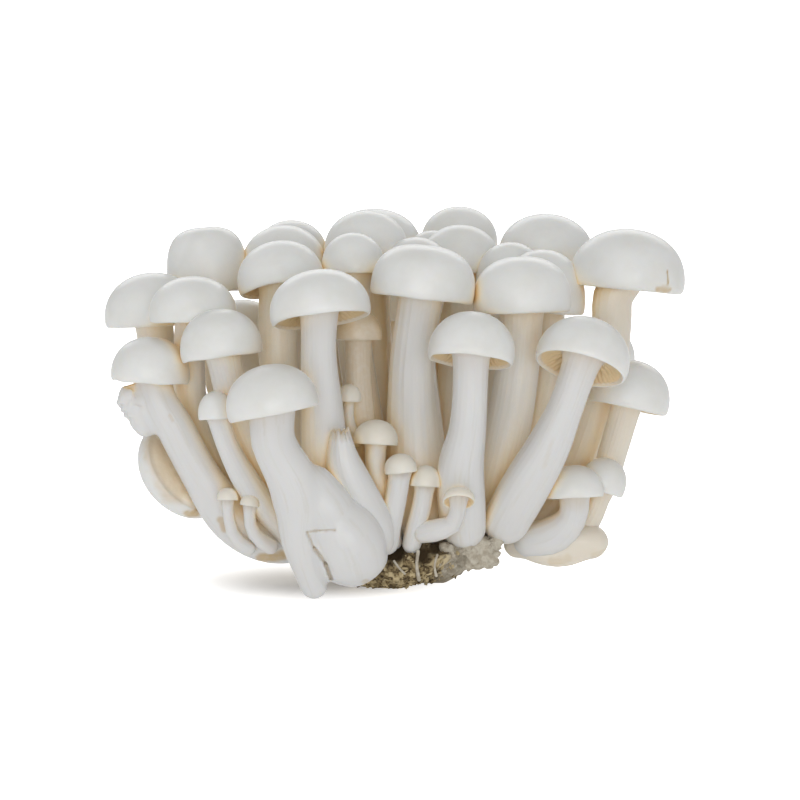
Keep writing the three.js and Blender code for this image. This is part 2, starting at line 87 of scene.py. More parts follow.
sideMushrooms = {
    "left_1": dict(cap=(-48.5, -14, 42), radius=7.9, height=8.9, up=(0.05, 0.07, 1),
        stem=[(-46.6, -15, 38.5, 3.4), (-43.9, -15, 33.6, 3.7), (-38.6, -15, 23.7, 3.8),
              (-32.5, -15, 15, 4.5), (-25.5, -14.5, 10.5, 4.3), (-16, -12.5, 9, 2.9)],
        offshoots=[[(-53.6, -15, 41.4, 2), (-52.2, -15, 38.8, 2.6), (-50.2, -15, 35.4, 2.7),
              (-48, -15, 31.4, 2.3)]]),
    "left_2": dict(cap=(-48.5, 2, 51.5), radius=9.6, height=10.6, up=(-0.05, 0.07, 1),
        stem=[(-47.5, 3, 45, 3.7), (-45, 4, 34, 3.4), (-35, 2, 19, 3.2), (-15, -3.5, 7, 2.3)]),
    "left_3": dict(cap=(-40, -11, 53.5), radius=8.7, height=9.1, up=(0, 0.09, 1),
        stem=[(-41, -9, 44, 3.2), (-39.5, -6, 32, 3.2), (-30, -4.5, 18, 3), (-16, -8, 7.5, 2.3)]),
    "left_4": dict(cap=(-37.7, 10, 57.4), radius=8.2, height=13.1, up=(-0.07, 0.07, 1), fullness=0.66,
        stem=[(-36.5, 8, 50, 3.4), (-33.5, 5.5, 35, 3.4), (-22, 1, 17, 3.1), (-11, -1, 6.5, 2.3)]),
    "left_5": dict(cap=(-35, -25, 36), radius=3.5, height=5.5, up=(-0.05, 0.1, 1),
        stem=[(-33, -24, 31, 2.1), (-28, -20.5, 21, 2.7), (-20, -17, 10, 2.1)]),
    "drooping_cap": dict(cap=(-41.5, -8, 24.4), radius=10.5, height=7.2, up=(-0.68, 0.52, -0.54),
        archHeight=-0.1, hollow=0,      # its underside has swollen out flush with the lip
        stem=[(-38.6, -10, 24.5, 1.9), (-33.5, -9.5, 17, 1.9), (-25, -9.5, 10, 2)]),
    "right_1": dict(cap=(29, 3, 54), radius=8.8, height=12.6, up=(0.05, 0.07, 1),
        stem=[(30, 3, 46, 3.7), (28.5, 2, 34, 3.7), (23, 0.5, 16, 3.2), (18.5, 0, 7.5, 2.5)]),
    "right_2": dict(cap=(30.5, 24, 62), radius=9.6, height=10, up=(0.04, -0.04, 1),
        stem=[(30.5, 19, 48, 3.6), (27.5, 13.5, 33, 3.4), (20, 8, 13, 2.9), (15.5, 6, 5.5, 2.3)]),
    "right_3": dict(cap=(46.2, 4, 58.5), radius=11.5, height=12.2, up=(0.09, 0.09, 1), spokes=256,
        stem=[(43.5, 3, 57.3, 3.9), (43.2, 3, 52, 3.9), (42.4, 3.5, 44, 3.9),
              (39.8, 4.5, 33, 3.7), (32, 5, 15, 3.3), (21.5, 3, 8, 2.4)]),
    "right_4": dict(cap=(46, -4, 35.5), radius=8.2, height=9.8, up=(0.21, 0.14, 1),
        stem=[(43.5, -2, 27, 2.9), (41, 0, 18.5, 2.8), (35, 0, 11, 3), (23, -1, 8, 2.2)]),
    "right_5": dict(cap=(35.5, -11, 18.5), radius=5.8, height=6.5, up=(-0.05, 0.14, 1),
        stem=[(35, -10, 14.5, 2.9), (31, -8.5, 10.5, 3.8), (23.5, -6.5, 8.8, 3.2)]),
    "right_6": dict(cap=(40.7, -6, 19.4), radius=4.7, height=6.6, up=(0.35, 0.05, 1),
        stem=[(39.8, -5.5, 16, 2.2), (37.5, -5, 12, 2.4), (31, -3.5, 9, 2.2)]),
    "right_foot": dict(
        stem=[(42.4, -6, 9, 2.4), (38.5, -6.5, 9, 3.6), (32, -6.5, 8.3, 3.9), (26.5, -5.5, 8.6, 3.4),
              (21.5, -4.5, 8, 2.4)],
        offshoots=[[(38, -8, 7, 1.6), (33, -9, 6, 1.9), (28, -8.5, 6.6, 1.8), (24, -7, 8, 1.4)]]),
}

middleMushrooms = {
    "centre_1": dict(cap=(-22.5, -6, 59.5), radius=8.7, height=9.7, up=(-0.18, 0.27, 1),
        stem=[(-23.5, -6, 49, 3.9), (-22, -7, 36, 3.9), (-16, -8, 18, 3.7), (-10, -8, 7.5, 2.8)]),
    "centre_2": dict(cap=(-22.5, 12, 60), radius=8.7, height=10.7, up=(-0.05, 0.09, 1),
        stem=[(-21.5, 9, 48, 3.7), (-18, 5.5, 34, 3.7), (-10.5, 1, 15, 3.2), (-6, 0, 6.5, 2.4)]),
    "centre_3": dict(cap=(-21.5, 30, 61.5), radius=7.4, height=8.7, up=(0, -0.07, 1),
        stem=[(-17, 23, 52, 3.3), (-13.2, 18.5, 42, 3.4), (-11.5, 13, 28, 3.3), (-6.5, 6, 11, 2.8),
              (-4.5, 4.5, 6, 2.2)]),
    "centre_4": dict(cap=(-8.5, -3, 62.5), radius=6.2, height=8, up=(0, 0.09, 1),
        stem=[(-8.5, -2, 50, 3.4), (-6.5, -2, 36, 3.4), (-2.5, -2.5, 15, 2.9), (-1.5, -3, 6.5, 2.3)]),
    "centre_5": dict(cap=(-6, 11, 63.5), radius=8.5, height=10.3, up=(0, 0.05, 1),
        stem=[(-5.5, 9, 50, 3.7), (-4.5, 6.5, 34, 3.5), (-0.5, 3.5, 12, 2.9), (0.5, 3, 6, 2.4)]),
    "centre_6": dict(cap=(-4.5, 29, 63.5), radius=9.5, height=9.1, up=(0, -0.05, 1),
        stem=[(-4.5, 23, 48, 3.5), (-3, 16, 32, 3.4), (0.5, 9, 11, 2.7), (1, 8, 5.5, 2.2)]),
    "centre_7": dict(cap=(4, 6, 58.5), radius=7.6, height=10.3, up=(0, 0.07, 1),
        stem=[(4, 5, 47, 3.7), (5.5, 3.5, 33, 3.7), (8.5, 1.5, 13, 3), (9.5, 1, 6, 2.4)]),
    "centre_8": dict(cap=(13, 15, 61), radius=8.1, height=9.5, up=(0, 0.04, 1),
        stem=[(12.5, 13, 47, 3.7), (11.5, 10.5, 33, 3.7), (10.5, 7, 13, 3), (10.5, 6, 5.5, 2.4)]),
    "centre_9": dict(cap=(7.5, 24, 63), radius=5.3, height=5.6, up=(0, 0, 1),
        stem=[(7, 19, 47, 2.5), (6, 14, 32, 2.5), (5.5, 9, 12, 2.2), (5.5, 8.5, 5.5, 1.8)]),
    "centre_10": dict(cap=(13, 37, 63.5), radius=7.9, height=8.9, up=(0, -0.1, 1),
        stem=[(12.5, 30, 48, 3.5), (11, 22, 34, 3.5), (9.5, 13.5, 13, 2.9), (9.5, 11.5, 5, 2.2)]),
    "centre_11": dict(cap=(23, 8, 58.5), radius=6.9, height=9.1, up=(0, 0.07, 1),
        stem=[(22, 7, 48, 3.4), (20.5, 5.5, 34, 3.4), (16, 3, 13, 2.9), (14, 2.5, 6, 2.4)]),
    "centre_12": dict(cap=(-7.5, -11, 50), radius=4.7, height=5.9, up=(0, 0.1, 1),
        stem=[(-7.5, -11, 43, 2.6), (-6, -11, 27, 2.8), (-3, -11, 9, 2.3)]),
}

# The far side, where lower mushrooms lean out from behind the tall ones
backMushrooms = {
    "back_1": dict(cap=(-31.5, 27, 44.5), radius=8.5, height=9.6, up=(-0.3, 0.35, 1),
        stem=[(-28, 23.5, 35, 3.3), (-22.5, 17, 23, 3.5), (-12, 7.5, 9, 2.7), (-8, 5, 6, 2.2)]),
    "back_2": dict(cap=(-17.5, 40, 44), radius=9, height=9.8, up=(-0.1, 0.4, 1),
        stem=[(-15.5, 35, 34, 3.6), (-12, 27, 23, 3.6), (-6, 14, 9, 2.9), (-4, 10, 5.5, 2.2)]),
    "back_3": dict(cap=(2, 44, 46), radius=9.5, height=10.2, up=(0, 0.35, 1),
        stem=[(2, 39, 36, 3.9), (2, 30, 24, 3.9), (1.5, 17, 9, 3), (1.5, 13, 5, 2.2)]),
    "back_4": dict(cap=(22.5, 40, 42), radius=8.7, height=9.5, up=(0.2, 0.4, 1),
        stem=[(20, 35, 33, 3.3), (16, 27, 22, 3.5), (8, 15.5, 8.5, 2.7), (6.5, 13, 5, 2.1)]),
    "back_5": dict(cap=(39.5, 24, 41), radius=8.8, height=9.7, up=(0.35, 0.3, 1),
        stem=[(35, 20.5, 31, 3.5), (28, 16, 21, 3.5), (17, 10.5, 8, 2.7), (13.5, 9, 5, 2.1)]),
    "back_6": dict(cap=(-44, 16, 31), radius=7.2, height=8.2, up=(-0.45, 0.25, 1),
        stem=[(-39, 13.5, 23.5, 3), (-31, 10, 15.5, 3.1), (-17, 4.5, 8, 2.5), (-12, 3, 6, 2.1)]),
    "back_7": dict(cap=(9.5, 33, 22), radius=5, height=6, up=(0.15, 0.5, 1),
        stem=[(8.5, 29.5, 16.5, 2), (6, 23, 10, 2.2), (3.5, 17, 5.5, 1.8)]),
    "back_8": dict(cap=(-16, 29, 20), radius=4.2, height=5.2, up=(-0.3, 0.5, 1),
        stem=[(-13.5, 25.5, 15, 1.8), (-9.5, 19.5, 9.5, 2), (-5, 14, 5.5, 1.7)]),
}

# The stem that lost its cap, from its ragged top to its foot
brokenStem = [(-10.9, -26, 33.8, 1.8), (-10.2, -25.5, 27.5, 3.5), (-7.5, -24.5, 21, 4.1),
              (-4.6, -23, 14, 4.2), (-3.6, -21.5, 8, 3.2)]

# What the caps share unless they have their own, as shares of a cap's radius and height
capLook = {
    "widestHeight": 0.17,
    "fullness": 0.95,           # less gives fuller shoulders
    "lip": [(0.998, 0.12), (0.99, 0.07), (0.976, 0.03), (0.955, 0.005), (0.935, 0.0),
            (0.915, 0.012), (0.9, 0.045)],
    "lipInside": 2,             # points of the lip that are on the underside
    "lipTint": 0.35,            # their share of the gills' colour, which is partly painted shade
    "archHeight": 0.26,         # the underside where it meets the stem
    "hollow": 1,                # less gives a flatter underside
    "archCurve": 1.7,
    "gillDepth": 0.075,
    "gillWarp": 0.02,
    "shortGillsFrom": 0.45,     # share of the way out at which the short gills start
    "outOfRound": 0.024,
    "dents": 0.006,
    "wavyRim": 0.02,
    "rimHeight": 0.3,           # how far up the waves of the rim are felt
    "domeRings": 24,
    "gillRings": 8,
}

# What the stems share, in millimetres
stemLook = {
    "flare": 0.22,              # share by which a stem widens under its gills
    "flareReach": 0.22,         # share of the cap's radius that the flare takes
    "straight": 2.2,            # the stem leaves the cap's axis over this many flares
    "oval": 0.045,              # share by which it is out of round
    "lumps": 0.7,               # the same for longer lumps, as a share of oval
    "neck": 0.98,               # width where it meets the gills, as a share of its first
    "twist": (2.2, 7, 1.5),     # how far the oval, the lumps and the fibres turn on the way down
    "fibreDepth": 0.05,
    "fibreStretch": 0.05,
    # the gills' tan, partly painted shade, runs down the stem's head and fades
    "gillTint": 0.35,
    "gillFade": 0.55,
    "ringSpacing": 1.8,
    "endSteps": 9,              # rings that round off an end
}
# The broken stem's top, with how brown its rim and its middle are
brokenTop = {"ragged": 1.1, "sunk": 1.2, "inner": (0.82, 0.6, 0.35), "brown": (0.3, 0.35)}

# How shoots grow together: cell and reach in millimetres, and rounds of softening
fleshMelt = {"cell": 0.3, "soften": 6, "seamReach": 1.8, "seamSoften": 45}

# Stains, cracks and seams that face the front, and painted shade in some grooves and hollows: from and to (x,
# z), width, depth, and how brown it is
marks = {
    # front_1: grooves pressed in with painted shade along them, and a stain at the root end
    "front_1": [((-17.2, 15.2), (-11.8, 15.4), 0.17, 0.35, 0.4), ((-17.2, 15), (-15.9, 11.8), 0.2, 0.5, 0.3),
                ((-15.9, 11.8), (-13.7, 8.6), 0.24, 0.8, 0.35),
                ((-13.7, 8.6), (-12.6, 5.2), 0.3, 1.1, 0.45), ((-5.6, 3.4), (-5.9, 4.6), 0.6, 0.1, 0.4)],
    "front_4": [((30.4, 31), (29.3, 26.5), 0.4, 0.05, 0.12), ((23.2, 17.2), (27, 16.8), 0.2, 0.08, 0.14)],
    "left_1": [((-26.5, 7.3), (-22.6, 7.8), 1.0, 0.3, 0.8), ((-34.4, 15.2), (-33.8, 13.4), 0.7, 0.1, 0.55),
               ((-44.4, 35.9), (-43.8, 34.9), 0.3, 0.1, 0.3)],
    # drooping_cap: its second mark is a tan oval of painted shade inside the cap
    "drooping_cap": [((-41, 15.6), (-39.6, 15.8), 0.8, 0.0, 0.8), ((-48, 28.6), (-44, 20), 1.9, 0.0, 0.4)],
    # centre_12: painted shade over its cap and stem, which stand under the cap above
    "centre_12": [((-7.5, 56), (-4, 30), 6, 0.0, 0.5)],
    "right_3": [((53.9, 62.8), (54.1, 60.2), 0.16, 0.4, 0.9), ((52, 59.5), (54, 59.2), 0.6, 0.4, 0.65)],
    "right_5": [((33, 17.9), (37, 18.5), 0.5, 0.1, 0.2)],
    "right_6": [((39.4, 18.6), (41.2, 17.8), 0.6, 0.2, 0.35)],
    "right_foot": [((31, 5.6), (34, 6.2), 0.8, 0.1, 0.22), ((39.4, 6.6), (41.4, 7.2), 0.6, 0.0, 0.2),
                   ((28, 9.8), (31, 10.6), 0.4, 0.2, 0.2)],
}
markLook = {
    "fadesAt": 1.6,             # in a mark's own widths
    "uneven": 0.3,
    "reach": 7,                 # mm behind the nearest flesh
}
ragged = {"left_1": [((-54, -15, 38), 4.2, 0.9)]}       # torn edges: middle, reach and depth
raggedLook = [(1.6, 0.6), (0.7, 0.4)]                   # size of its lumps and their share
mm = 0.001


def smooth(x):
    x = np.clip(x, 0, 1)
    return x * x * (3 - 2 * x)


def unit(v):
    v = np.asarray(v, float)
    return v / np.linalg.norm(v)


def seedOf(name):
    return sum((i + 1) * ord(c) for i, c in enumerate(name))


def anglesOf(spokes):
    return np.linspace(0, 2 * math.pi, spokes, endpoint=False)


def wavesOf(seed, count, lowest, highest):
    # a few waves round a ring: how many, how high and where each starts
    draw = np.random.default_rng(seed)
    number = draw.integers(lowest, highest + 1, count)
    return number, draw.uniform(0.4, 1, count) / count, draw.uniform(0, 2 * math.pi, count)


def wobble(angle, waves, turn=0.0):
    return sum(high * np.cos(n * angle + start + turn) for n, high, start in zip(*waves))


def cloud(points, cell, seed):
    # smooth random heights, -1 to 1, over cells of the given size
    q = np.asarray(points, float) / cell + 100
    whole = np.floor(q).astype(np.int64)
    part = smooth(q - whole)
    total = np.zeros(len(q))
    for corner in np.ndindex(2, 2, 2):
        c = whole + corner
        stirred = (c[:, 0] * 73856093) ^ (c[:, 1] * 19349663) ^ (c[:, 2] * 83492791) ^ (seed * 2654435761)
        stirred = (stirred ^ (stirred >> 13)) * 1274126177
        height = ((stirred ^ (stirred >> 16)) & 0xffff) / 32767.5 - 1
        total += height * np.prod(np.where(corner, part, 1 - part), axis=1)
    return total


def pathThrough(points):
    # a fine curve through (x, y, z, radius) points, and how far along it each step is
    p = np.asarray(points, float)
    p = np.vstack([2 * p[0] - p[1], p, 2 * p[-1] - p[-2]])
    step = np.linalg.norm(np.diff(p[:, :3], axis=0), axis=1) ** 0.5
    fine = []
    for i in range(1, len(p) - 2):
        d0, d1, d2 = step[i - 1:i + 2]
        m1 = ((p[i] - p[i - 1]) / d0 - (p[i + 1] - p[i - 1]) / (d0 + d1) + (p[i + 1] - p[i]) / d1) * d1
        m2 = ((p[i + 1] - p[i]) / d1 - (p[i + 2] - p[i]) / (d1 + d2) + (p[i + 2] - p[i + 1]) / d2) * d1
        t = np.linspace(0, 1, 30, endpoint=i == len(p) - 3)[:, None]
        fine.append((2 * t**3 - 3 * t**2 + 1) * p[i] + (t**3 - 2 * t**2 + t) * m1
                    + (3 * t**2 - 2 * t**3) * p[i + 1] + (t**3 - t**2) * m2)
    fine = np.vstack(fine)
    run = np.concatenate([[0], np.cumsum(np.linalg.norm(np.diff(fine[:, :3], axis=0), axis=1))])
    return fine, run


def stemSteps(length, headWidth, footWidth, roundHead):
    # how far down each ring lies, and how far it closes towards a rounded end
    turn = np.linspace(0, 0.5 * math.pi, stemLook["endSteps"] + 1)[1:-1]
    start = headWidth if roundHead else 0
    count = max(6, int((length - footWidth - start) / stemLook["ringSpacing"]))
    body = np.linspace(start, length - footWidth, count)
    head = headWidth * (1 - np.cos(turn)) if roundHead else []
    foot = length - footWidth * (1 - np.cos(turn))[::-1]
    close = np.concatenate([np.sin(turn) if roundHead else [], np.ones(count), np.sin(turn)[::-1]])
    return np.concatenate([head, body, foot]), close


def stemRings(points, seed, spokes, up=None, flareReach=1.0, roundHead=False):
    # rings from the foot up to the head, each with its zone (gills, stem, pit, mark) and its grain
    look = stemLook
    fine, run = pathThrough(points)
    length, headWidth = run[-1], points[0][3]
    at, close = stemSteps(length, headWidth, points[-1][3], roundHead)
    path = np.stack([np.interp(at, run, fine[:, k]) for k in range(4)], 1)
    down = np.gradient(fine[:, :3], run, axis=0)
    down = np.stack([np.interp(at, run, down[:, k]) for k in range(3)], 1)
    angle = anglesOf(spokes)
    oval, lumps = wavesOf(seed + 1, 3, 2, 3), wavesOf(seed + 2, 3, 1, 4)
    fibres = wavesOf(seed + 3, 5, 14, 30)
    ovalTwist, lumpTwist, fibreTwist = look["twist"]
    x = unit(np.cross([0, 1, 0], -unit(down[0]) if up is None else up))
    rings, zone, grain = [], [], []
    for i, d in enumerate(at):
        axis, flare, gill, share = unit(down[i]), 0, 0, d / length
        if up is not None:
            blend = float(smooth(np.array(d / (look["straight"] * flareReach))))
            axis = unit(-up * (1 - blend) + axis * blend)
            flare = look["flare"] * math.exp(-d / flareReach)
            gill = look["gillTint"] * math.exp(-d / (look["gillFade"] * flareReach))
        x = unit(x - axis * (x @ axis))
        y = np.cross(x, axis)
        width = path[i, 3] * (1 + flare)
        uneven = (wobble(angle, oval, ovalTwist * share)
                  + look["lumps"] * wobble(angle, lumps, lumpTwist * share))
        ridges = look["fibreDepth"] * wobble(angle, fibres, fibreTwist * share) * min(1, width / 2)
        out = (width * (1 + look["oval"] * uneven) + ridges) * close[i]
        rings.append(path[i, :3] + np.outer(out * np.cos(angle), x) + np.outer(out * np.sin(angle), y))
        zone.append(np.tile([gill, 1.0, 0, 0], (spokes, 1)))
        grain.append(np.stack([headWidth * np.cos(angle), headWidth * np.sin(angle),
                               np.full(spokes, look["fibreStretch"] * d + seed)], 1))
    return rings[::-1], zone[::-1], grain[::-1], path[-1, :3]


def undersideSteps(spec, seed, angle, neckWidth):
    # thin gills hang from the arch, and the short ones between them start further out
    look = {**capLook, **spec}
    radius, height, arch, hollow = (look[key] for key in ("radius", "height", "archHeight", "hollow"))
    lipRadius, lipHeight = look["lip"][-1][0], look["lip"][-1][1] * hollow
    longGills = np.tile([1, 0.3, 0, 0, 0, 0, 0, 0.3], len(angle) // 8)
    allGills = np.tile([1, 0.4, 0, 0.4], len(angle) // 4)
    warp = look["gillWarp"] * wobble(angle, wavesOf(seed + 4, 4, 2, 5))
    steps = []
    for j in range(1, look["gillRings"] + 1):
        share = j / (look["gillRings"] + 1)
        out = (neckWidth + (lipRadius * radius - neckWidth) * share) * (1 + warp * share)
        lift = height * (lipHeight + (arch - lipHeight) * (1 - share ** look["archCurve"]))
        ramp = min(1, 5 * (1 - share)) * (0.45 + 0.55 * min(1, 4 * share))      # shallow at both ends
        gills = allGills if share > look["shortGillsFrom"] else longGills
        steps.append((out, lift - hollow * look["gillDepth"] * radius * ramp * gills, 1, 0))
    return steps


def domeSteps(spec, seed, angle):
    # round the lip and up the dome, slightly uneven all over
    look = {**capLook, **spec}
    radius, height, full, hollow = (look[key] for key in ("radius", "height", "fullness", "hollow"))
    oval, dents, rim = wavesOf(seed + 5, 4, 2, 4), wavesOf(seed + 6, 4, 1, 3), wavesOf(seed + 7, 4, 2, 6)
    widest, rimHeight = look["widestHeight"], look["rimHeight"] * height
    profile = []
    for k, (a, b) in enumerate(look["lip"][::-1]):
        inside = k < look["lipInside"]
        profile.append((a * radius, b * height * (hollow if inside else 1), look["lipTint"] if inside else 0))
    for k in range(look["domeRings"]):
        turn = 0.5 * math.pi * k / look["domeRings"]
        profile.append((radius * math.cos(turn) ** full,
                        height * (widest + (1 - widest) * math.sin(turn) ** full), 0))
    steps = []
    for r, z, gill in profile:
        out = r * (1 + look["outOfRound"] * wobble(angle, oval) * r / radius
                   + look["dents"] * wobble(angle, dents, 5 * z / height) * (z > rimHeight))
        wave = look["wavyRim"] * height * wobble(angle, rim) * max(0, 1 - z / rimHeight)
        steps.append((out, z + wave, gill, z))
    return steps


def capRings(spec, seed, spokes, neckWidth):
    # rings from the stem out under the gills, round the lip and up the dome
    centre, up, angle = np.array(spec["cap"], float), unit(spec["up"]), anglesOf(spokes)
    side = unit(np.cross([0, 1, 0], up))
    ahead = np.cross(up, side)
    rings, zone, grain = [], [], []
    steps = undersideSteps(spec, seed, angle, neckWidth) + domeSteps(spec, seed, angle)
    for out, lift, gill, inner in steps:
        x, y = out * np.cos(angle), out * np.sin(angle)
        rings.append(centre + np.outer(x, side) + np.outer(y, ahead) + np.outer(lift * np.ones(spokes), up))
        zone.append(np.tile([gill, 0.0, 0, 0], (spokes, 1)))
        grain.append(np.stack([x, y, np.full(spokes, inner + seed)], 1))
    return rings, zone, grain, centre + up * spec["height"]


def closedSkin(rings, zone, grain, first, last):
    # joins rings of equal count into one closed surface between two end points
    spokes, count = len(rings[0]), len(rings)
    a = np.arange(spokes)
    b = (a + 1) % spokes
    quads = [np.stack([1 + i * spokes + a, 1 + i * spokes + b, 1 + (i + 1) * spokes + b,
                       1 + (i + 1) * spokes + a], 1) for i in range(count - 1)]
    end = 1 + (count - 1) * spokes
    faces = np.vstack(quads).tolist() + np.stack([0 * a, 1 + b, 1 + a], 1).tolist()
    faces += np.stack([0 * a + end + spokes, end + a, end + b], 1).tolist()
    return {"points": np.vstack([first[None]] + rings + [last[None]]), "faces": faces,
            "zone": np.vstack([zone[0][:1]] + zone + [zone[-1][:1]]),
            "grain": np.vstack([grain[0].mean(0)[None]] + grain + [grain[-1].mean(0)[None]])}


def meshOf(name, points, faces):
    mesh = bpy.data.meshes.new(name)
    mesh.from_pydata(points.tolist(), [], faces)
    return mesh


def placed(name, data):
    thing = bpy.data.objects.new(name, data)
    bpy.context.scene.collection.objects.link(thing)
    return thing


def joined(skins):
    shift, faces = 0, []
    for skin in skins:
        faces += [[v + shift for v in face] for face in skin["faces"]]
        shift += len(skin["points"])
    return {"faces": faces, **{k: np.vstack([s[k] for s in skins]) for k in ("points", "zone", "grain")}}


def softened(points, edges, weights):
    # moves every point towards the middle of its neighbours, once for each set of weights
    degree = np.bincount(edges.ravel(), minlength=len(points))[:, None]
    for weight in weights:
        total = np.zeros_like(points)
        np.add.at(total, edges[:, 0], points[edges[:, 1]])
        np.add.at(total, edges[:, 1], points[edges[:, 0]])
        points += weight[:, None] * (total / degree - points)


def melted(skins, cell, soften, seamReach=0, seamSoften=0):
    # grows overlapping skins into one surface, softer where two of them meet
    whole = joined(skins)
    body = placed("melt", meshOf("melt", whole["points"], whole["faces"]))
    remesh = body.modifiers.new("melt", "REMESH")
    remesh.mode = "VOXEL"
    remesh.voxel_size = cell
    made = bpy.data.meshes.new_from_object(body.evaluated_get(bpy.context.evaluated_depsgraph_get()))
    points = np.array([v.co for v in made.vertices])
    faces = [list(p.vertices) for p in made.polygons]
    edges = np.array([e.vertices[:] for e in made.edges])
    bpy.data.objects.remove(body)
    trees = [BVHTree.FromPolygons(s["points"].tolist(), s["faces"]) for s in skins]
    away = np.array([[tree.find_nearest(p)[3] for tree in trees] for p in points])
    seam = np.sort(away, axis=1)[:, 1] < seamReach if len(skins) > 1 else np.zeros(len(points), bool)
    tree = BVHTree.FromPolygons(whole["points"].tolist(), whole["faces"])
    near = np.array([whole["faces"][tree.find_nearest(p)[2]][0] for p in points])
    rounds = range(max(soften, seamSoften))
    softened(points, edges, [0.5 * np.where(turn < soften, 1.0, seam) for turn in rounds])
    return {"points": points, "faces": faces, "zone": whole["zone"][near], "grain": whole["grain"][near]}


def marked(name, skin):
    # presses the marks into the front of a skin and notes them in its zone
    points, zone = skin["points"], skin["zone"]
    for (x0, z0), (x1, z1), width, depth, brown in marks.get(name, []):
        along = np.array([x1 - x0, z1 - z0])
        seen = points[:, [0, 2]] - [x0, z0]
        share = np.clip(seen @ along / (along @ along), 0, 1)
        away = np.linalg.norm(seen - share[:, None] * along, axis=1)
        away += markLook["uneven"] * width * cloud(points, 0.9, 61)
        nearest = points[away < 3 * width, 1].min(initial=0)
        amount = smooth(markLook["fadesAt"] - away / width) * (points[:, 1] < nearest + markLook["reach"])
        zone[:, 3] = np.maximum(zone[:, 3], brown * amount)
        points[:, 1] += depth * amount
    for centre, reach, deep in ragged.get(name, []):
        away = np.linalg.norm(points - centre, axis=1)
        rough = sum(share * cloud(points, cell, 71 + k) for k, (cell, share) in enumerate(raggedLook))
        points[:, [0, 2]] += (deep * smooth(markLook["fadesAt"] - away / reach) * rough)[:, None]
    return skin


def addPiece(name, skin, material, replaces=None):
    mesh = meshOf(name, skin["points"] * mm, skin["faces"])
    mesh.polygons.foreach_set("use_smooth", np.full(len(mesh.polygons), not skin.get("flat", False)))
    mesh.attributes.new("zone", "FLOAT_COLOR", "POINT").data.foreach_set(
        "color", skin["zone"].astype(np.float32).ravel())
    mesh.attributes.new("grain", "FLOAT_VECTOR", "POINT").data.foreach_set(
        "vector", skin["grain"].astype(np.float32).ravel())
    mesh.materials.append(material)
    mesh.update()
    piece = placed(name, mesh)
    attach(piece, "root")
    if replaces:
        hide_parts(replaces)


def closedStem(points, seed, spokes):
    # a stem or shoot without a cap, rounded at both ends
    rings, zone, grain, foot = stemRings(points, seed, spokes, roundHead=True)
    return closedSkin(rings, zone, grain, foot, np.array(points[0][:3], float))


def mushroomSkin(name, spec, spokes):
    seed, stem = seedOf(name), spec["stem"]
    if "cap" not in spec:
        main = closedStem(stem, seed, spokes)
    else:
        up = unit(spec["up"])
        arch = spec.get("archHeight", capLook["archHeight"])
        neck = tuple(np.array(spec["cap"]) + up * arch * spec["height"]) + (stemLook["neck"] * stem[0][3],)
        reach = stemLook["flareReach"] * spec["radius"]
        rings, zone, grain, foot = stemRings([neck] + list(stem), seed, spokes, up, reach)
        cap = capRings(spec, seed, spokes, neck[3] * (1 + stemLook["flare"]))
        if "offshoots" not in spec:
            return closedSkin(rings + cap[0], zone + cap[1], grain + cap[2], foot, cap[3])
        cap = closedSkin(cap[0], cap[1], cap[2], np.array(neck[:3]), cap[3])
        main = closedSkin(rings, zone, grain, foot, np.array(neck[:3]))
    shoots = [closedStem(points, seed + 50 + k, spokes) for k, points in enumerate(spec.get("offshoots", []))]
    body = melted([main] + shoots, **fleshMelt)
    return joined([body, cap]) if "cap" in spec else body


def brokenSkin(spokes):
    # the broken stem, with a ragged top that is sunk in its middle
    rings, zone, grain, foot = stemRings(brokenStem, 77, spokes)
    head = np.array(brokenStem[0][:3], float)
    up = unit(head - brokenStem[1][:3])
    angle = anglesOf(spokes)
    jag = wobble(angle, wavesOf(78, 5, 2, 11)) + 0.5 * wobble(angle, wavesOf(79, 4, 12, 25))
    jag *= brokenTop["ragged"]
    top = rings[-1]
    rings[-1] = top + np.outer(jag, up)
    rings[-2] += np.outer(0.5 * jag, up)
    edgeBrown, innerBrown = brokenTop["brown"]
    zone[-1] = np.tile([0, 1, 0, edgeBrown], (spokes, 1))
    for share in brokenTop["inner"]:
        sunk = brokenTop["sunk"] * (1 - share)
        rings.append(head + (top - head) * share + np.outer(jag * share - sunk, up))
        zone.append(np.tile([0.3, 1, 0, innerBrown], (spokes, 1)))
        grain.append(grain[-1])
    return closedSkin(rings, zone, grain, foot, head - up * brokenTop["sunk"])


# The crumb of substrate, in millimetres
crumbLook = {
    "middle": (2.5, -3),
    "length": 37,
    "depth": 34,
    "height": 10.5,
    "resting": 20,              # the flat face it stands on, about the origin
    "side": [(0.93, 0.3), (1, 0.55), (0.85, 1), (0.6, 0.6)],    # shares of half its length and of its height
    "rise": 0.5,                # slope by which its underside rises to the right of riseFrom
    "riseFrom": 6,
    "frontRise": 0.3,           # the same along its front
    "spokes": 260,
    "rings": 84,
    "rough": [(5.0, 0.9), (1.9, 0.5), (0.8, 0.28)],     # size of the lumps and how far they stand out
    # pits: hollows sunk in and painted dark as shade, as (x, z, width, depth)
    "pits": [(-0.5, 9.2, 2.4, 2.6), (5.5, 8.4, 1.8, 2.2), (8.2, 9.8, 1.5, 1.8), (-5, 6.5, 1.6, 1.6)],
    "whiteFrom": 6.5,           # mycelium covers it from here to the right
    "whiteOver": 5,
    "whiteBehind": 4,           # and not behind this depth
}
chipLook = {
    "count": 1500,
    "length": (0.5, 2.0),
    "tones": ([0.05, 0.55, 0.8, 1.0], [0.2, 0.25, 0.3, 0.25]),  # how tan, and the share of each
    "notBeyond": (9, 3),        # where the mycelium takes over, and how far this wanders
    "behind": 0.4,              # share that is kept at the back
}
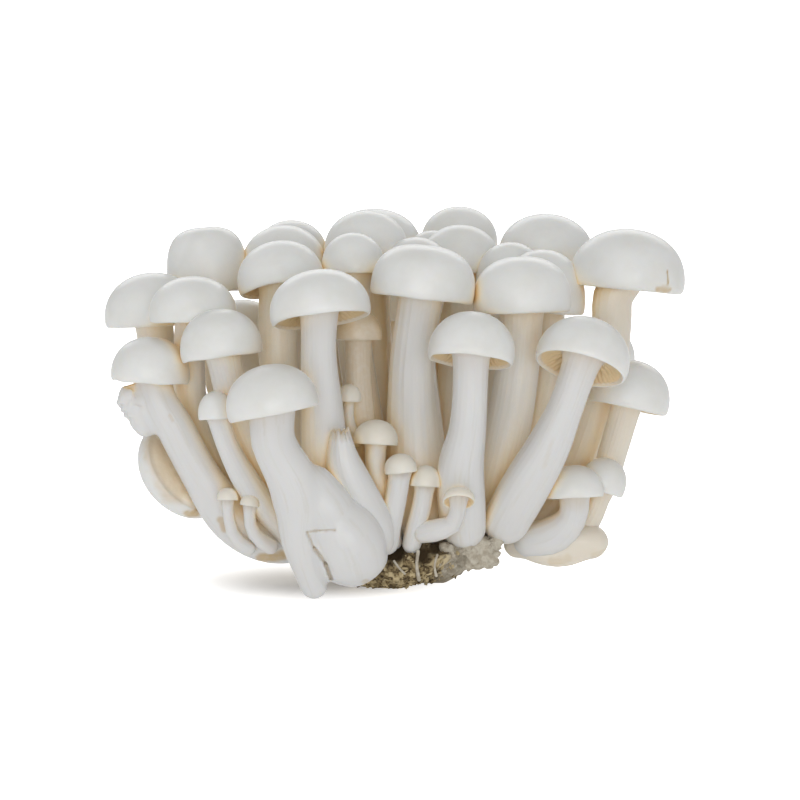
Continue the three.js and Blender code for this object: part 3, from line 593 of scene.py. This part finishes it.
myceliumLook = {
    "count": 230,               # rounded lumps on the crumb's right
    "width": (0.5, 1.5),
    "from": (7.5, 2.5),         # where it starts, and how far this wanders
    "tuft": [(17.3, -13.4, 7.9), (2.9, 2.2, 2.3)],      # where it stands out furthest, and how far
    "tuftShare": 6,             # one lump of the tuft for this many on the crumb
    "melt": {"cell": 0.3, "soften": 3},
    "curl": 0.22,
}
strands = [[(4.4, -19.6, 9.4, 0.35), (4.1, -20.4, 6.5, 0.3), (4.6, -20.2, 3.2, 0.4)],
           [(8.2, -19.6, 8.6, 0.25), (7.6, -20, 6.2, 0.22), (8, -19.6, 4, 0.28)],
           [(-0.5, -20, 7.4, 0.25), (0.6, -20.6, 6, 0.22), (1.9, -20.4, 4.6, 0.2)]]


def crumbRing(radius, lift, angle):
    # one ring of the crumb before it is roughened
    look, high = crumbLook, crumbLook["height"]
    lean = float(min(1, lift / (look["side"][0][1] * high)))
    squash = look["depth"] / look["length"]
    ring = np.stack([lean * look["middle"][0] + radius * np.cos(angle),
                     lean * look["middle"][1] + radius * np.sin(angle) * squash,
                     np.full(len(angle), lift)], 1)
    rise = look["rise"] * np.maximum(0, ring[:, 0] - look["riseFrom"]) * lean
    rise += look["frontRise"] * np.maximum(0, ring[:, 0] - 1) * smooth((-2 - ring[:, 1]) / 6)
    ring[:, 2] += rise * (1 - lift / high)
    return ring


def roughened(ring, lift, angle):
    # lumps stand out of a ring and pits go in, and the flat underside stays flat
    stand = sum(deep * cloud(ring, cell, 11 + k) for k, (cell, deep) in enumerate(crumbLook["rough"]))
    pitShade = np.zeros(len(ring))
    for px, pz, width, deep in crumbLook["pits"]:
        away = np.hypot(ring[:, 0] - px, ring[:, 2] - pz)
        hollow = smooth(1.5 - away / width) * (ring[:, 1] < -8)
        pitShade = np.maximum(pitShade, hollow)
        stand -= deep * hollow
    way = np.stack([np.cos(angle), np.sin(angle), np.full(len(angle), 0.25)], 1)
    ring += way * (stand * float(smooth(np.array(lift / 1.5))))[:, None]
    ring[:, 2] = np.maximum(ring[:, 2], 0 if lift < 0.01 else 0.02)
    return pitShade


def crumbSkin():
    look, high, angle = crumbLook, crumbLook["height"], anglesOf(crumbLook["spokes"])
    flat, reach = 0.5 * look["resting"], 0.5 * look["length"]
    corners = np.array([(0.02, 0), (flat, 0)] + [(a * reach, b * high) for a, b in look["side"]]
                       + [(0.02, 0.55 * high)])
    run = np.concatenate([[0], np.cumsum(np.linalg.norm(np.diff(corners, axis=0), axis=1))])
    at = np.linspace(0.3 * flat, run[-1] * 0.93, look["rings"])
    rings, zone, grain = [], [], []
    for radius, lift in zip(np.interp(at, run, corners[:, 0]), np.interp(at, run, corners[:, 1])):
        ring = crumbRing(radius, lift, angle)
        pitShade = roughened(ring, lift, angle)
        white = smooth((ring[:, 0] - look["whiteFrom"] + 3 * cloud(ring, 2.5, 31)) / look["whiteOver"])
        tan = smooth(0.5 + 1.2 * cloud(ring, 1.1, 32))
        rings.append(ring)
        zone.append(np.stack([tan, white * (ring[:, 1] < look["whiteBehind"]), pitShade, np.zeros(len(ring))], 1))
        grain.append(ring.copy())
    last = np.array([look["middle"][0], look["middle"][1], 0.5 * high])
    return closedSkin(rings, zone, grain, np.zeros(3), last)


def pebble(detail):
    # the corners and faces of a small rounded body about the origin
    mesh = bpy.data.meshes.new("pebble")
    build = bmesh.new()
    bmesh.ops.create_icosphere(build, subdivisions=detail, radius=1)
    build.to_mesh(mesh)
    build.free()
    return np.array([v.co for v in mesh.vertices]), [list(p.vertices) for p in mesh.polygons]


def scattered(count, seed, sizeOf, zoneOf, surface, accept, detail, jitter):
    # many small bodies on a surface, each turned and stretched its own way
    draw = np.random.default_rng(seed)
    corners, faces = pebble(detail)
    points, allFaces, zones = [], [], []
    while len(points) < count:
        spot = surface[draw.integers(len(surface))]
        if not accept(spot, draw):
            continue
        turn, _ = np.linalg.qr(draw.normal(size=(3, 3)))
        body = corners * (1 + jitter * draw.uniform(-1, 1, (len(corners), 1)))
        body = (body * sizeOf(draw)) @ turn + spot
        body[:, 2] = np.maximum(body[:, 2], 0.03)
        allFaces += [[v + len(points) * len(corners) for v in face] for face in faces]
        zones.append(np.tile(zoneOf(draw), (len(corners), 1)))
        points.append(body)
    points = np.vstack(points)
    return {"points": points, "faces": allFaces, "zone": np.vstack(zones), "grain": points.copy()}


def chipsOn(surface):
    look = chipLook
    tones, shares = look["tones"]
    edge, wander = look["notBeyond"]

    def sizeOf(draw):
        long = draw.uniform(*look["length"]) * 0.5
        return np.array([long, long * draw.uniform(0.3, 0.7), long * draw.uniform(0.2, 0.45)])

    def zoneOf(draw):
        return [draw.choice(tones, p=shares), 0, 0, 0]

    def accept(spot, draw):
        return (spot[2] > 0.4 and spot[0] < edge + draw.normal() * wander
                and (spot[1] < 0 or draw.random() < look["behind"]))

    chips = scattered(look["count"], 5, sizeOf, zoneOf, surface, accept, 1, 0.25)
    chips["flat"] = True
    return chips


def myceliumOn(surface):
    look = myceliumLook
    start, wander = look["from"]
    middle, spreads = look["tuft"]

    def sizeOf(draw):
        wide = draw.uniform(*look["width"])
        return wide * np.array([1, draw.uniform(0.6, 1.1), draw.uniform(0.5, 0.9)])

    def zoneOf(draw):
        return [0.5, 1, 0, 0]

    def accept(spot, draw):
        return spot[0] > start + abs(draw.normal()) * wander and spot[1] < 3 and spot[2] > 1.5

    tuft = np.random.default_rng(8).uniform(-1, 1, (len(surface) // look["tuftShare"], 3))
    surface = np.vstack([surface, tuft * spreads + middle])
    lumps = scattered(look["count"], 6, sizeOf, zoneOf, surface, accept, 2, 0.12)
    skin = melted([lumps], **look["melt"])
    points = skin["points"]
    points += look["curl"] * np.stack([cloud(points, 0.9, 41 + k) for k in range(3)], 1)
    points[:, 2] = np.maximum(points[:, 2], 0.05)
    skin["zone"][:, 0] = smooth(0.5 + cloud(points, 1.6, 45))
    return skin


def strandSkins():
    made = []
    for k, points in enumerate(strands):
        strand = closedStem(points, 300 + k, 12)
        strand["zone"][:] = [0.6, 1, 0, 0]
        made.append(strand)
    return joined(made)


# Colours as shares of linear light, lengths in metres, and noise as (scale to a metre, detail, roughness)
# and the range of it that counts
fleshLook = {
    "cap": (0.735, 0.74, 0.725),
    "capShade": (0.69, 0.69, 0.66),
    "mottle": ((150, 4, 0.55), 0.35, 0.75),
    "stem": (0.66, 0.66, 0.655),
    "stemStreak": (0.57, 0.55, 0.49),
    "streaks": ((1.1, 4, 0.65), 0.5, 0.78),     # to a millimetre of its grain
    "streakShare": 0.5,
    "young": (0.74, 0.66, 0.50),        # tone of the smallest mushrooms
    "youngShare": 0.4,
    "inner": (0.73, 0.66, 0.54),        # painted shade, warmer and darker, on the stems inside the bunch
    "innerShadeShare": 0.75,
    # the gills' cream darkened to tan and orange: partly their colour, partly painted shade under the caps
    "gill": (0.70, 0.51, 0.27),
    "openGillPaintedLight": (0.97, 0.92, 0.81),     # painted light: paler than the flesh, to lift the shade under the cap that droops
    "gillShare": 0.9,
    "shelterShade": (0.94, 0.88, 0.76),      # painted shade where other mushrooms stand close
    "shelterShadeRange": (0.6, 0.25),        # how open it is where this starts, and where it is full
    "creviceShade": (0.97, 0.74, 0.42),      # deeper painted shade where they stand all round
    "creviceShadeRange": (0.34, 0.06),
    "paintedShadeReach": 0.02,
    "paintedShadeFrom": (0.007, 0.02),          # the floor shelters too, so the painted shade starts above it
    "openPaintedShade": 0.2,                    # share of the painted shade under the cap that droops
    # the brown of stains, cracks and seams, and of the painted shade that some marks lay
    "mark": (0.50, 0.34, 0.13),
    "stainAndShadePatches": ((900, 4, 0.55), 0.3, 0.6, 0.82, 1.0),
    "bump": (2.6, 3, 0.6),              # to a millimetre of its grain
    "bumpStrength": 0.25,
    "bumpDepth": 0.00012,
    "shader": {
        "Roughness": 0.5,
        "Specular IOR Level": 0.3,
        "Subsurface Weight": 0.3,       # how much light goes through the flesh
        "Subsurface Radius": (1.0, 0.72, 0.46),
        "Subsurface Scale": 0.0016,
        "Sheen Weight": 1.0,            # pale edge of the skin
        "Sheen Roughness": 0.15,
        "Coat Weight": 0.5,
        "Coat Roughness": 0.25,
    },
}
soilLook = {
    # dark grit, and the painted shade in the pits
    "dark": (0.06, 0.04, 0.02),
    "brown": (0.33, 0.25, 0.13),
    "grit": ((1500, 4, 0.6), 0.35, 0.65),
    "tan": (0.66, 0.54, 0.32),
    "tanRange": (0.5, 1.0, 0, 0.9),
    "mycelium": (0.58, 0.54, 0.45),
    "myceliumShade": (0.44, 0.39, 0.31),
    "threads": ((700, 5, 0.65), 0.42, 0.6),
    "bump": (2200, 4, 0.7),
    "bumpStrength": 0.8,
    "bumpDepth": 0.0003,
    "shader": {"Roughness": 0.92, "Specular IOR Level": 0.2},
}


def nodeOf(tree, kind, **settings):
    node = tree.nodes.new(kind)
    for key, value in settings.items():
        setattr(node, key, value)
    return node


def feed(tree, socket, value):
    if isinstance(value, bpy.types.NodeSocket):
        tree.links.new(value, socket)
    elif isinstance(value, tuple) and len(value) == 3 and len(socket.default_value) == 4:
        socket.default_value = value + (1,)
    else:
        socket.default_value = value


def feedAll(tree, node, values):
    for key, value in values.items():
        feed(tree, node.inputs[key], value)


def mixed(tree, share, first, second):
    mix = nodeOf(tree, "ShaderNodeMix", data_type="RGBA")
    feedAll(tree, mix, {0: share, 6: first, 7: second})
    return mix.outputs[2]


def spread(tree, value, low, high, toLow=0.0, toHigh=1.0):
    # a value from low to high becomes toLow to toHigh, with soft ends
    node = nodeOf(tree, "ShaderNodeMapRange", interpolation_type="SMOOTHSTEP")
    feedAll(tree, node, dict(enumerate((value, low, high, toLow, toHigh))))
    return node.outputs[0]


def times(tree, first, second):
    node = nodeOf(tree, "ShaderNodeMath", operation="MULTIPLY")
    feedAll(tree, node, {0: first, 1: second})
    return node.outputs[0]


def noiseOf(tree, place, scale, detail, roughness):
    node = nodeOf(tree, "ShaderNodeTexNoise")
    feedAll(tree, node, {"Vector": place, "Scale": scale, "Detail": detail, "Roughness": roughness})
    return node.outputs["Fac"]


def patches(tree, place, noise, *between):
    return spread(tree, noiseOf(tree, place, *noise), *between)


def openness(tree, reach):
    # 1 in the open and 0 where flesh stands close all round, which sets where shade is painted
    around = nodeOf(tree, "ShaderNodeAmbientOcclusion", samples=8)
    feed(tree, around.inputs["Distance"], reach)
    return around.outputs["AO"]


def newMaterial(name):
    material = bpy.data.materials.new(name)
    material.use_nodes = True
    return material, material.node_tree, material.node_tree.nodes["Principled BSDF"]


def skinMaterial(name):
    # a material with its shader, the zones of the skin, its grain and where it is
    material, tree, shader = newMaterial(name)
    zone = nodeOf(tree, "ShaderNodeAttribute", attribute_name="zone")
    parts = nodeOf(tree, "ShaderNodeSeparateColor")
    tree.links.new(zone.outputs["Color"], parts.inputs[0])
    zones = list(parts.outputs) + [zone.outputs["Alpha"]]
    grain = nodeOf(tree, "ShaderNodeAttribute", attribute_name="grain").outputs["Vector"]
    place = nodeOf(tree, "ShaderNodeNewGeometry").outputs["Position"]
    return material, tree, shader, zones, grain, place


def finished(tree, shader, look, tone, along):
    # the tone, the set values and the fine bumps of a material
    feed(tree, shader.inputs["Base Color"], tone)
    feedAll(tree, shader, look["shader"])
    bump = nodeOf(tree, "ShaderNodeBump")
    feedAll(tree, bump, {"Strength": look["bumpStrength"], "Distance": look["bumpDepth"],
                         "Height": noiseOf(tree, along, *look["bump"])})
    tree.links.new(bump.outputs[0], shader.inputs["Normal"])


def fleshMaterial(name, kind):
    look = fleshLook
    material, tree, shader, (gill, stem, _, mark), grain, place = skinMaterial(name)
    mottle = patches(tree, place, *look["mottle"])
    cap = mixed(tree, mottle, look["cap"], look["capShade"])
    streaks = patches(tree, grain, *look["streaks"])
    stemTone = mixed(tree, times(tree, streaks, look["streakShare"]), look["stem"], look["stemStreak"])
    # stems inside the bunch take a warmer, darker tone as painted shade
    if kind == "inner":
        stemTone = mixed(tree, look["innerShadeShare"], stemTone, look["inner"])
    if kind == "young":
        cap = mixed(tree, look["youngShare"], cap, look["young"])
    tone = mixed(tree, stem, cap, stemTone)
    # painted shade: the flesh turns tan, then orange, where other flesh closes it in, from a little above the
    # floor
    around = openness(tree, look["paintedShadeReach"])
    split = nodeOf(tree, "ShaderNodeSeparateXYZ")
    tree.links.new(place, split.inputs[0])
    shadeAboveFloor = spread(tree, split.outputs["Z"], *look["paintedShadeFrom"])
    if kind == "open":
        shadeAboveFloor = times(tree, shadeAboveFloor, look["openPaintedShade"])
    for shadeName in ("shelterShade", "creviceShade"):
        paintedShade = spread(tree, around, *look[shadeName + "Range"])
        tone = mixed(tree, times(tree, paintedShade, shadeAboveFloor), tone, look[shadeName])
    # under the cap that droops the gills' tone is painted light; elsewhere it is partly painted shade
    gillTone = look["openGillPaintedLight"] if kind == "open" else look["gill"]
    tone = mixed(tree, times(tree, gill, look["gillShare"]), tone, gillTone)
    # stains and the marks' painted shade, in patches
    tone = mixed(tree, times(tree, mark, patches(tree, place, *look["stainAndShadePatches"])), tone, look["mark"])
    finished(tree, shader, look, tone, grain)
    return material


def crumbMaterial():
    look = soilLook
    material, tree, shader, (tan, white, pitShade, _), _, place = skinMaterial("crumb")
    grit = patches(tree, place, *look["grit"])
    soil = mixed(tree, grit, look["dark"], look["brown"])
    soil = mixed(tree, spread(tree, tan, *look["tanRange"]), soil, look["tan"])
    threads = patches(tree, place, *look["threads"])
    fluff = mixed(tree, threads, look["mycelium"], look["myceliumShade"])
    # the pits are painted dark as shade
    tone = mixed(tree, pitShade, mixed(tree, white, soil, fluff), look["dark"])
    finished(tree, shader, look, tone, place)
    return material


# Camera, lights and floor
studioLook = {
    "looksAt": (0.0008, 0.0, 0.0367),
    "elevation": 7.0,           # degrees above the horizon
    "distance": 1.0,
    "lens": 225.0,              # mm, on a sensor of the width below
    "sensor": 36,
    "clipStart": 0.01,
    "skyLight": 0.6,
    "lights": {                 # place, size and watts
        "keyLight": ((-0.3, -0.7, 0.75), (0.7, 0.6), 0.95),
        "frontLight": ((0.05, -1.0, 0.14), (0.9, 0.4), 2.9),
        "backLight": ((0, 1.2, 0.75), (1.6, 0.6), 5.0),
    },
    "lightsAim": (0, 0, 0.04),
    "floorReach": 3.0,
    "floorShader": {"Base Color": (0.86, 0.86, 0.86), "Roughness": 0.85, "Specular IOR Level": 0.05,
                    "Emission Color": (1.0, 1.0, 1.0)},
    "floorBounce": 0.24,        # the light that the floor gives to the cluster
    "floorGlow": 0.1,           # glow to the camera close to the left foot, dim there to lay a painted shadow, and floorGlowFar away from it
    "floorGlowFar": 1.0,
    # the middle of the painted shadow and where it fades out, in metres
    "paintedShadowMiddle": (-0.02, 0.0, 0.0),
    "paintedShadowFrom": 0.004,
    "paintedShadowTo": 0.036,
}


def setUpCamera():
    e = math.radians(studioLook["elevation"])
    back = Vector((0, -math.cos(e), math.sin(e)))
    camera = placed("camera", bpy.data.cameras.new("camera"))
    camera.data.lens = studioLook["lens"]
    camera.data.sensor_width = studioLook["sensor"]
    camera.data.clip_start = studioLook["clipStart"]
    camera.location = Vector(studioLook["looksAt"]) + back * studioLook["distance"]
    camera.rotation_euler = back.to_track_quat("Z", "Y").to_euler()
    bpy.context.scene.camera = camera


def softBox(name, place, size, power):
    light = bpy.data.lights.new(name, "AREA")
    light.shape = "RECTANGLE"
    light.size, light.size_y = size
    light.energy = power
    lamp = placed(name, light)
    lamp.location = place
    lamp.rotation_euler = (Vector(place) - Vector(studioLook["lightsAim"])).to_track_quat("Z", "Y").to_euler()


def setUpLight():
    # the sky lights the cluster with skyLight and is plain white where it is seen
    world = bpy.data.worlds.new("studio")
    bpy.context.scene.world = world
    world.use_nodes = True
    tree = world.node_tree
    lit = tree.nodes["Background"]
    feedAll(tree, lit, {"Color": (1.0, 1.0, 1.0), "Strength": studioLook["skyLight"]})
    seen = nodeOf(tree, "ShaderNodeBackground")
    feed(tree, seen.inputs["Color"], (1.0, 1.0, 1.0))
    mix = nodeOf(tree, "ShaderNodeMixShader")
    path = nodeOf(tree, "ShaderNodeLightPath")
    feedAll(tree, mix, {0: path.outputs["Is Camera Ray"], 1: lit.outputs[0], 2: seen.outputs[0]})
    feed(tree, tree.nodes["World Output"].inputs["Surface"], mix.outputs[0])
    for name, (place, size, power) in studioLook["lights"].items():
        softBox(name, place, size, power)
    bpy.context.scene.view_settings.view_transform = "Standard"
    bpy.context.scene.view_settings.look = "None"


def setUpFloor():
    corners = studioLook["floorReach"] * np.array([(-1, -1, 0), (1, -1, 0), (1, 1, 0), (-1, 1, 0)])
    mesh = meshOf("floor", corners, [(0, 1, 2, 3)])
    paint, tree, shader = newMaterial("whiteFloor")
    feedAll(tree, shader, studioLook["floorShader"])
    # the floor glows to the camera, dim round the left foot where this lays a painted shadow, and white
    # elsewhere over the real shadows too
    away = nodeOf(tree, "ShaderNodeVectorMath", operation="DISTANCE")
    tree.links.new(nodeOf(tree, "ShaderNodeNewGeometry").outputs["Position"], away.inputs[0])
    feed(tree, away.inputs[1], Vector(studioLook["paintedShadowMiddle"]))
    glow = spread(tree, away.outputs["Value"], studioLook["paintedShadowFrom"], studioLook["paintedShadowTo"],
                  studioLook["floorGlow"], studioLook["floorGlowFar"])
    seen = nodeOf(tree, "ShaderNodeLightPath").outputs["Is Camera Ray"]
    strength = nodeOf(tree, "ShaderNodeMix", data_type="FLOAT")
    feedAll(tree, strength, {0: seen, 2: studioLook["floorBounce"], 3: glow})
    feed(tree, shader.inputs["Emission Strength"], strength.outputs[0])
    mesh.materials.append(paint)
    placed("floor", mesh)


setUpCamera()
setUpLight()
setUpFloor()
print("camera, lights and floor set")

# Each group with its number of spokes, a multiple of 8 for the gills
groups = [("front", frontMushrooms, 176), ("small", smallMushrooms, 80), ("side", sideMushrooms, 120),
          ("middle", middleMushrooms, 104), ("back", backMushrooms, 112)]
innerShadeFrom = -7          # a stem that starts behind this depth is inside the bunch and gets its painted shade
# the inner flesh is the outer one with painted shade, and the open one has painted light under its cap
flesh = {kind: fleshMaterial(kind + "Flesh", kind) for kind in ("outer", "inner", "open", "young")}


def kindOf(name, spec):
    if name == "drooping_cap":
        return "open"
    if name in smallMushrooms:
        return "young"
    return "inner" if spec["stem"][0][1] > innerShadeFrom else "outer"


for groupName, mushrooms, spokes in groups:
    for name, spec in mushrooms.items():
        skin = marked(name, mushroomSkin(name, spec, spec.get("spokes", spokes)))
        addPiece("grown_" + name, skin, flesh[kindOf(name, spec)], name)
    print(groupName, "mushrooms made:", len(mushrooms))
addPiece("grown_broken_stem", brokenSkin(120), flesh["outer"], "broken_stem")

soil = crumbMaterial()
crumb = crumbSkin()
surface = crumb["points"][crumb["zone"][:, 2] < 0.3]        # all but the pits
addPiece("grown_substrate", crumb, soil, "substrate")
addPiece("substrate_chips", chipsOn(surface), soil)
addPiece("substrate_mycelium", myceliumOn(surface), soil)
addPiece("substrate_strands", strandSkins(), soil)
print("substrate made")
